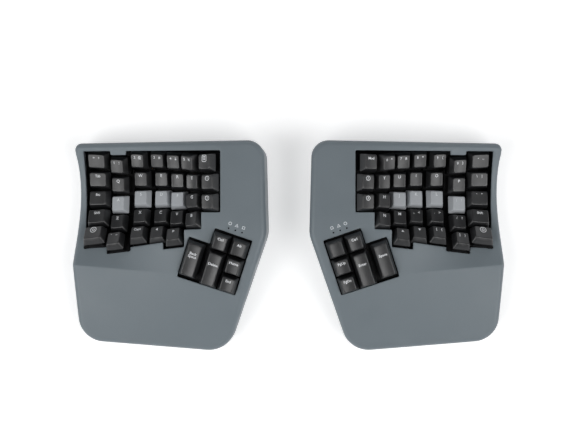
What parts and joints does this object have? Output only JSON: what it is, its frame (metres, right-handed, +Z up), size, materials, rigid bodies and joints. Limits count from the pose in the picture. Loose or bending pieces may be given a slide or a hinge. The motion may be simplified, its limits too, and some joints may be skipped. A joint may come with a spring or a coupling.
{
  "type": "split ergonomic keyboard",
  "caption": "Split keyboard in two mirrored, sculpted halves with contoured key wells, slanted thumb clusters, palm rests and sprung keys, each half on rubber feet with a fold-out leg.",
  "frame": {"origin": "centre of the two halves' footprint, on the desk under the rubber feet", "axes": "+X to the typist's right, +Y away from the typist, +Z up from the desk"},
  "size_m": [0.4368, 0.213, 0.0588],
  "materials": {
    "case_shell": "satin",
    "base": "matte",
    "switch_plate": "matte",
    "keycap_dark": "satin",
    "keycap_light": "satin",
    "switch": "satin",
    "flex": "satin",
    "board": "satin",
    "battery": "foil",
    "steel": "plated",
    "lens": "smoked",
    "rubber": "matte"
  },
  "bodies": {
    "keyboard": {"left_top_case": "case_shell", "left_base_plate": "base", "left_key_well": "switch_plate", "left_thumb_plate": "switch_plate", "right_top_case": "case_shell", "right_base_plate": "base", "right_key_well": "switch_plate", "right_thumb_plate": "switch_plate", "switch_housings": "switch", "flex_circuits": "flex", "thumb_boards": "board", "controller_boards": "board", "batteries": "battery", "usb_sockets": "steel", "indicator_lenses": "lens", "case_screws": "steel", "rubber_feet": "rubber", "leg_pins": "steel"},
    "left_tent_leg": {"left_tent_leg": "base"},
    "right_tent_leg": {"right_tent_leg": "base"},
    "left_number_row_keys": {"left_number_row_keys": "keycap_dark"},
    "left_upper_row_keys": {"left_upper_row_keys": "keycap_dark"},
    "left_lower_row_keys": {"left_lower_row_keys": "keycap_dark"},
    "left_bottom_row_keys": {"left_bottom_row_keys": "keycap_dark"},
    "left_home_key_1": {"left_home_key_1": "keycap_dark"},
    "left_home_key_2": {"left_home_key_2": "keycap_light"},
    "left_home_key_3": {"left_home_key_3": "keycap_light"},
    "left_home_key_4": {"left_home_key_4": "keycap_light"},
    "left_home_key_5": {"left_home_key_5": "keycap_light"},
    "left_inner_key_1": {"left_inner_key_1": "keycap_dark"},
    "left_inner_key_2": {"left_inner_key_2": "keycap_dark"},
    "left_inner_key_3": {"left_inner_key_3": "keycap_dark"},
    "left_inner_key_4": {"left_inner_key_4": "keycap_dark"},
    "left_centre_column_keys": {"left_centre_column_keys": "keycap_dark"},
    "left_thumb_key_1": {"left_thumb_key_1": "keycap_dark"},
    "left_thumb_key_2": {"left_thumb_key_2": "keycap_dark"},
    "left_thumb_key_3": {"left_thumb_key_3": "keycap_dark"},
    "left_thumb_key_4": {"left_thumb_key_4": "keycap_dark"},
    "left_thumb_key_5": {"left_thumb_key_5": "keycap_dark"},
    "left_thumb_key_6": {"left_thumb_key_6": "keycap_dark"},
    "right_number_row_keys": {"right_number_row_keys": "keycap_dark"},
    "right_upper_row_keys": {"right_upper_row_keys": "keycap_dark"},
    "right_lower_row_keys": {"right_lower_row_keys": "keycap_dark"},
    "right_bottom_row_keys": {"right_bottom_row_keys": "keycap_dark"},
    "right_home_key_1": {"right_home_key_1": "keycap_dark"},
    "right_home_key_2": {"right_home_key_2": "keycap_light"},
    "right_home_key_3": {"right_home_key_3": "keycap_light"},
    "right_home_key_4": {"right_home_key_4": "keycap_light"},
    "right_home_key_5": {"right_home_key_5": "keycap_light"},
    "right_inner_key_1": {"right_inner_key_1": "keycap_dark"},
    "right_inner_key_2": {"right_inner_key_2": "keycap_dark"},
    "right_inner_key_3": {"right_inner_key_3": "keycap_dark"},
    "right_inner_key_4": {"right_inner_key_4": "keycap_dark"},
    "right_centre_column_keys": {"right_centre_column_keys": "keycap_dark"},
    "right_thumb_key_1": {"right_thumb_key_1": "keycap_dark"},
    "right_thumb_key_2": {"right_thumb_key_2": "keycap_dark"},
    "right_thumb_key_3": {"right_thumb_key_3": "keycap_dark"},
    "right_thumb_key_4": {"right_thumb_key_4": "keycap_dark"},
    "right_thumb_key_5": {"right_thumb_key_5": "keycap_dark"},
    "right_thumb_key_6": {"right_thumb_key_6": "keycap_dark"}
  },
  "joints": [
    {"name": "left_tent_leg_hinge", "type": "hinge", "parent": "keyboard", "child": "left_tent_leg", "pos_m": [-0.03944, 0.04022, 0.0047], "axis": [0, -1, 0], "range_deg": [0, 75]},
    {"name": "right_tent_leg_hinge", "type": "hinge", "parent": "keyboard", "child": "right_tent_leg", "pos_m": [0.03944, 0.04022, 0.0047], "axis": [0, 1, 0], "range_deg": [0, 75]},
    {"name": "left_number_row_keys_press", "type": "slide", "parent": "keyboard", "child": "left_number_row_keys", "axis": [0.2079, 0.3023, -0.9303], "range_m": [0, 0.004], "stiffness_N_per_m": 375, "springref_m": -0.004},
    {"name": "left_upper_row_keys_press", "type": "slide", "parent": "keyboard", "child": "left_upper_row_keys", "axis": [0.2079, 0.1107, -0.9719], "range_m": [0, 0.004], "stiffness_N_per_m": 375, "springref_m": -0.004},
    {"name": "left_lower_row_keys_press", "type": "slide", "parent": "keyboard", "child": "left_lower_row_keys", "axis": [0.2079, -0.3664, -0.9069], "range_m": [0, 0.004], "stiffness_N_per_m": 375, "springref_m": -0.004},
    {"name": "left_bottom_row_keys_press", "type": "slide", "parent": "keyboard", "child": "left_bottom_row_keys", "axis": [0.2079, -0.5887, -0.7812], "range_m": [0, 0.004], "stiffness_N_per_m": 375, "springref_m": -0.004},
    {"name": "left_home_key_1_press", "type": "slide", "parent": "keyboard", "child": "left_home_key_1", "axis": [0.2079, -0.1192, -0.9709], "range_m": [0, 0.004], "stiffness_N_per_m": 75, "springref_m": -0.004},
    {"name": "left_home_key_2_press", "type": "slide", "parent": "keyboard", "child": "left_home_key_2", "axis": [0.2079, -0.1192, -0.9709], "range_m": [0, 0.004], "stiffness_N_per_m": 75, "springref_m": -0.004},
    {"name": "left_home_key_3_press", "type": "slide", "parent": "keyboard", "child": "left_home_key_3", "axis": [0.2079, -0.1192, -0.9709], "range_m": [0, 0.004], "stiffness_N_per_m": 75, "springref_m": -0.004},
    {"name": "left_home_key_4_press", "type": "slide", "parent": "keyboard", "child": "left_home_key_4", "axis": [0.2079, -0.1192, -0.9709], "range_m": [0, 0.004], "stiffness_N_per_m": 75, "springref_m": -0.004},
    {"name": "left_home_key_5_press", "type": "slide", "parent": "keyboard", "child": "left_home_key_5", "axis": [0.2079, -0.1192, -0.9709], "range_m": [0, 0.004], "stiffness_N_per_m": 75, "springref_m": -0.004},
    {"name": "left_inner_key_1_press", "type": "slide", "parent": "keyboard", "child": "left_inner_key_1", "axis": [0.4384, 0.2777, -0.8548], "range_m": [0, 0.004], "stiffness_N_per_m": 75, "springref_m": -0.004},
    {"name": "left_inner_key_2_press", "type": "slide", "parent": "keyboard", "child": "left_inner_key_2", "axis": [0.4384, 0.1017, -0.893], "range_m": [0, 0.004], "stiffness_N_per_m": 75, "springref_m": -0.004},
    {"name": "left_inner_key_3_press", "type": "slide", "parent": "keyboard", "child": "left_inner_key_3", "axis": [0.4384, -0.1095, -0.8921], "range_m": [0, 0.004], "stiffness_N_per_m": 75, "springref_m": -0.004},
    {"name": "left_inner_key_4_press", "type": "slide", "parent": "keyboard", "child": "left_inner_key_4", "axis": [0.4384, -0.3367, -0.8333], "range_m": [0, 0.004], "stiffness_N_per_m": 75, "springref_m": -0.004},
    {"name": "left_centre_column_keys_press", "type": "slide", "parent": "keyboard", "child": "left_centre_column_keys", "axis": [0.4384, 0, -0.8988], "range_m": [0, 0.004], "stiffness_N_per_m": 225, "springref_m": -0.004},
    {"name": "left_thumb_key_1_press", "type": "slide", "parent": "keyboard", "child": "left_thumb_key_1", "axis": [0.0664, 0.1827, -0.9809], "range_m": [0, 0.004], "stiffness_N_per_m": 75, "springref_m": -0.004},
    {"name": "left_thumb_key_2_press", "type": "slide", "parent": "keyboard", "child": "left_thumb_key_2", "axis": [0.0664, 0.1827, -0.9809], "range_m": [0, 0.004], "stiffness_N_per_m": 75, "springref_m": -0.004},
    {"name": "left_thumb_key_3_press", "type": "slide", "parent": "keyboard", "child": "left_thumb_key_3", "axis": [0.0664, 0.1827, -0.9809], "range_m": [0, 0.004], "stiffness_N_per_m": 75, "springref_m": -0.004},
    {"name": "left_thumb_key_4_press", "type": "slide", "parent": "keyboard", "child": "left_thumb_key_4", "axis": [0.0664, 0.1827, -0.9809], "range_m": [0, 0.004], "stiffness_N_per_m": 75, "springref_m": -0.004},
    {"name": "left_thumb_key_5_press", "type": "slide", "parent": "keyboard", "child": "left_thumb_key_5", "axis": [0.0664, 0.1827, -0.9809], "range_m": [0, 0.004], "stiffness_N_per_m": 75, "springref_m": -0.004},
    {"name": "left_thumb_key_6_press", "type": "slide", "parent": "keyboard", "child": "left_thumb_key_6", "axis": [0.0664, 0.1827, -0.9809], "range_m": [0, 0.004], "stiffness_N_per_m": 75, "springref_m": -0.004},
    {"name": "right_number_row_keys_press", "type": "slide", "parent": "keyboard", "child": "right_number_row_keys", "axis": [-0.2079, 0.3023, -0.9303], "range_m": [0, 0.004], "stiffness_N_per_m": 375, "springref_m": -0.004},
    {"name": "right_upper_row_keys_press", "type": "slide", "parent": "keyboard", "child": "right_upper_row_keys", "axis": [-0.2079, 0.1107, -0.9719], "range_m": [0, 0.004], "stiffness_N_per_m": 375, "springref_m": -0.004},
    {"name": "right_lower_row_keys_press", "type": "slide", "parent": "keyboard", "child": "right_lower_row_keys", "axis": [-0.2079, -0.3664, -0.9069], "range_m": [0, 0.004], "stiffness_N_per_m": 375, "springref_m": -0.004},
    {"name": "right_bottom_row_keys_press", "type": "slide", "parent": "keyboard", "child": "right_bottom_row_keys", "axis": [-0.2079, -0.5887, -0.7812], "range_m": [0, 0.004], "stiffness_N_per_m": 375, "springref_m": -0.004},
    {"name": "right_home_key_1_press", "type": "slide", "parent": "keyboard", "child": "right_home_key_1", "axis": [-0.2079, -0.1192, -0.9709], "range_m": [0, 0.004], "stiffness_N_per_m": 75, "springref_m": -0.004},
    {"name": "right_home_key_2_press", "type": "slide", "parent": "keyboard", "child": "right_home_key_2", "axis": [-0.2079, -0.1192, -0.9709], "range_m": [0, 0.004], "stiffness_N_per_m": 75, "springref_m": -0.004},
    {"name": "right_home_key_3_press", "type": "slide", "parent": "keyboard", "child": "right_home_key_3", "axis": [-0.2079, -0.1192, -0.9709], "range_m": [0, 0.004], "stiffness_N_per_m": 75, "springref_m": -0.004},
    {"name": "right_home_key_4_press", "type": "slide", "parent": "keyboard", "child": "right_home_key_4", "axis": [-0.2079, -0.1192, -0.9709], "range_m": [0, 0.004], "stiffness_N_per_m": 75, "springref_m": -0.004},
    {"name": "right_home_key_5_press", "type": "slide", "parent": "keyboard", "child": "right_home_key_5", "axis": [-0.2079, -0.1192, -0.9709], "range_m": [0, 0.004], "stiffness_N_per_m": 75, "springref_m": -0.004},
    {"name": "right_inner_key_1_press", "type": "slide", "parent": "keyboard", "child": "right_inner_key_1", "axis": [-0.4384, 0.2777, -0.8548], "range_m": [0, 0.004], "stiffness_N_per_m": 75, "springref_m": -0.004},
    {"name": "right_inner_key_2_press", "type": "slide", "parent": "keyboard", "child": "right_inner_key_2", "axis": [-0.4384, 0.1017, -0.893], "range_m": [0, 0.004], "stiffness_N_per_m": 75, "springref_m": -0.004},
    {"name": "right_inner_key_3_press", "type": "slide", "parent": "keyboard", "child": "right_inner_key_3", "axis": [-0.4384, -0.1095, -0.8921], "range_m": [0, 0.004], "stiffness_N_per_m": 75, "springref_m": -0.004},
    {"name": "right_inner_key_4_press", "type": "slide", "parent": "keyboard", "child": "right_inner_key_4", "axis": [-0.4384, -0.3367, -0.8333], "range_m": [0, 0.004], "stiffness_N_per_m": 75, "springref_m": -0.004},
    {"name": "right_centre_column_keys_press", "type": "slide", "parent": "keyboard", "child": "right_centre_column_keys", "axis": [-0.4384, 0, -0.8988], "range_m": [0, 0.004], "stiffness_N_per_m": 225, "springref_m": -0.004},
    {"name": "right_thumb_key_1_press", "type": "slide", "parent": "keyboard", "child": "right_thumb_key_1", "axis": [-0.0664, 0.1827, -0.9809], "range_m": [0, 0.004], "stiffness_N_per_m": 75, "springref_m": -0.004},
    {"name": "right_thumb_key_2_press", "type": "slide", "parent": "keyboard", "child": "right_thumb_key_2", "axis": [-0.0664, 0.1827, -0.9809], "range_m": [0, 0.004], "stiffness_N_per_m": 75, "springref_m": -0.004},
    {"name": "right_thumb_key_3_press", "type": "slide", "parent": "keyboard", "child": "right_thumb_key_3", "axis": [-0.0664, 0.1827, -0.9809], "range_m": [0, 0.004], "stiffness_N_per_m": 75, "springref_m": -0.004},
    {"name": "right_thumb_key_4_press", "type": "slide", "parent": "keyboard", "child": "right_thumb_key_4", "axis": [-0.0664, 0.1827, -0.9809], "range_m": [0, 0.004], "stiffness_N_per_m": 75, "springref_m": -0.004},
    {"name": "right_thumb_key_5_press", "type": "slide", "parent": "keyboard", "child": "right_thumb_key_5", "axis": [-0.0664, 0.1827, -0.9809], "range_m": [0, 0.004], "stiffness_N_per_m": 75, "springref_m": -0.004},
    {"name": "right_thumb_key_6_press", "type": "slide", "parent": "keyboard", "child": "right_thumb_key_6", "axis": [-0.0664, 0.1827, -0.9809], "range_m": [0, 0.004], "stiffness_N_per_m": 75, "springref_m": -0.004}
  ]
}
